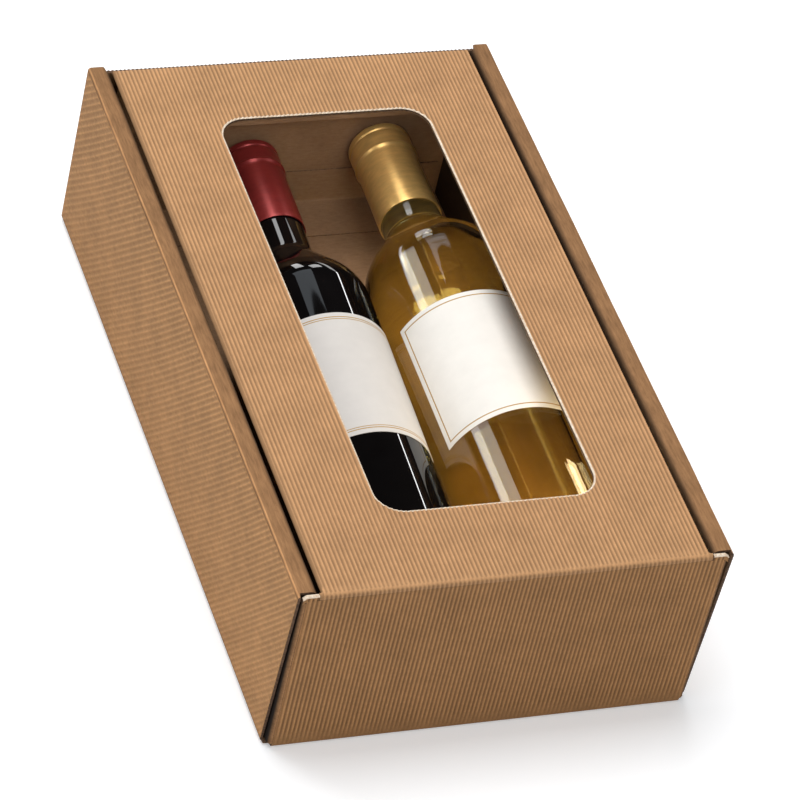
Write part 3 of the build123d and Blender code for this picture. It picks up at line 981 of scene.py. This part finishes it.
def white_floor():
    """Large white floor that glows a little to the camera alone, as on a light table."""
    half = 6.0
    mesh = bpy.data.meshes.new("floor")
    corners = [(-half, -half, 0), (half, -half, 0), (half, half, 0), (-half, half, 0)]
    mesh.from_pydata(corners, [], [(0, 1, 2, 3)])
    floor = bpy.data.objects.new("floor", mesh)
    bpy.context.scene.collection.objects.link(floor)
    material, tree, shader = nodes_of("floor")
    put(shader, Base_Color=(0.885, 0.9, 0.92, 1), Roughness=0.9, Specular_IOR_Level=0.0)
    glow = add(tree, "ShaderNodeEmission")
    put(glow, Color=(1, 1, 1, 1), Strength=0.31)
    lifted = add(tree, "ShaderNodeAddShader")
    tree.links.new(shader.outputs[0], lifted.inputs[0])
    tree.links.new(glow.outputs[0], lifted.inputs[1])
    ray = add(tree, "ShaderNodeLightPath")
    seen = choice(tree, ray.outputs["Is Camera Ray"], shader, lifted)
    tree.links.new(seen.outputs[0], tree.nodes["Material Output"].inputs["Surface"])
    mesh.materials.append(material)


def choice(tree, amount, first, second):
    """Mix of two shaders' outputs."""
    node = add(tree, "ShaderNodeMixShader")
    tree.links.new(amount, node.inputs["Fac"])
    tree.links.new(first.outputs[0], node.inputs[1])
    tree.links.new(second.outputs[0], node.inputs[2])
    return node


def studio():
    """Even surroundings: white to the camera, nearly dark in reflections, and a soft fill otherwise."""
    world = bpy.data.worlds.new("studio")
    bpy.context.scene.world = world
    world.use_nodes = True
    tree = world.node_tree
    fill = tree.nodes["Background"]
    put(fill, Color=(1, 1, 1, 1), Strength=0.25)
    seen = add(tree, "ShaderNodeBackground")
    put(seen, Color=(1, 1, 1, 1), Strength=1.0)
    mirrored = add(tree, "ShaderNodeBackground")
    put(mirrored, Color=(0.9, 0.95, 1, 1), Strength=0.02)
    ray = add(tree, "ShaderNodeLightPath")
    unseen = choice(tree, ray.outputs["Is Glossy Ray"], fill, mirrored)
    chosen = choice(tree, ray.outputs["Is Camera Ray"], unseen, seen)
    tree.links.new(chosen.outputs[0], tree.nodes["World Output"].inputs["Surface"])


def softbox(name, place, target, width, height, power, tint):
    """Flat light at a place, facing its target, with its height along the box."""
    light = bpy.data.lights.new(name, "AREA")
    light.shape = "RECTANGLE"
    light.size, light.size_y = width, height
    light.energy = power
    light.color = tint
    made = bpy.data.objects.new(name, light)
    bpy.context.scene.collection.objects.link(made)
    back = np.array(place) - np.array(target)
    back = back / np.linalg.norm(back)
    right = np.cross((0, 1, 0), back)
    right = right / np.linalg.norm(right)
    up = np.cross(back, right)
    made.matrix_world = Matrix([[right[i], up[i], back[i], place[i]] for i in range(3)] + [[0, 0, 0, 1]])
    return made


def camera_of_photo():
    """Camera fitted to the corners of the box in the photo, set by its place and its axes."""
    focal_px, photo_px, sensor = 4733.0635, 800, 36.0
    place = (-0.6935114, -1.3529792, 1.4186898)
    right = (0.9361944, -0.299871, 0.1833505)
    down = (-0.0815876, -0.6928037, -0.716496)
    forward = (0.3418823, 0.6558204, -0.6730647)
    data = bpy.data.cameras.new("camera")
    data.sensor_width = sensor
    data.lens = focal_px / photo_px * sensor
    data.clip_start, data.clip_end = 0.05, 50.0
    camera = bpy.data.objects.new("camera", data)
    bpy.context.scene.collection.objects.link(camera)
    rows = [[right[i], -down[i], -forward[i], place[i]] for i in range(3)]
    camera.matrix_world = Matrix(rows + [[0, 0, 0, 1]])
    bpy.context.scene.camera = camera


WHITE, COOL, COOLER = (1, 1, 1), (0.9, 0.96, 1.0), (0.85, 0.93, 1.0)
AMBER, WARM = (1, 0.76, 0.38), (1, 0.9, 0.7)
# Name, place, target, width, height, power in watts and tint
STUDIO_LIGHTS = (
    ("key", (-0.2, 0.4, 1.75), (0, 0, 0.05), 1.2, 0.9, 22.5, WHITE),
    ("front_top", (-0.15, -1.15, 1.4), (0, 0.05, 0.05), 0.6, 0.5, 4.2, WHITE),
    ("front_left", (-2.1, -0.65, 0.8), (0, 0, 0.05), 1.2, 1.0, 8.7, WHITE),
    ("left_bright", (-1.3, 1.31, 0.78), (0.02, 0, 0.05), 0.42, 0.5, 4.0, COOL),
    ("left_soft", (-1.05, 1.31, 1.12), (0.02, 0, 0.05), 0.42, 0.5, 1.7, COOL),
    ("back_dim", (0.04, 1.5, 1.35), (0.0, 0, 0.05), 0.75, 0.35, 0.9, COOLER),
    ("back_right", (1.38, 1.24, 0.82), (0, 0, 0.08), 0.05, 0.5, 1.2, WHITE),
    ("back_low", (0.62, 1.7, 0.89), (0, 0.02, 0.05), 0.4, 0.25, 1.6, WHITE),
)
# Small lights under the lid, hidden from the camera
BOX_LIGHTS = (
    ("over_gold_capsule", (0.033, 0.128, 0.0858), (0.046, 0.128, 0.0), 0.02, 0.055, 0.0115, WHITE),
    ("over_red_capsule", (-0.02, 0.128, 0.0858), (-0.016, 0.128, 0.0), 0.012, 0.055, 0.012, WHITE),
    ("under_right_strip", (0.0765, -0.09, 0.0868), (0.06, -0.09, 0.04), 0.012, 0.06, 0.03, AMBER),
    ("under_near_end", (0.047, -0.145, 0.0835), (0.047, -0.125, 0.0), 0.06, 0.012, 0.1, WARM),
)
white_floor()
studio()
for values in STUDIO_LIGHTS:
    softbox(*values)
for values in BOX_LIGHTS:
    softbox(*values).visible_camera = False
camera_of_photo()
bpy.context.scene.view_settings.view_transform = "Standard"
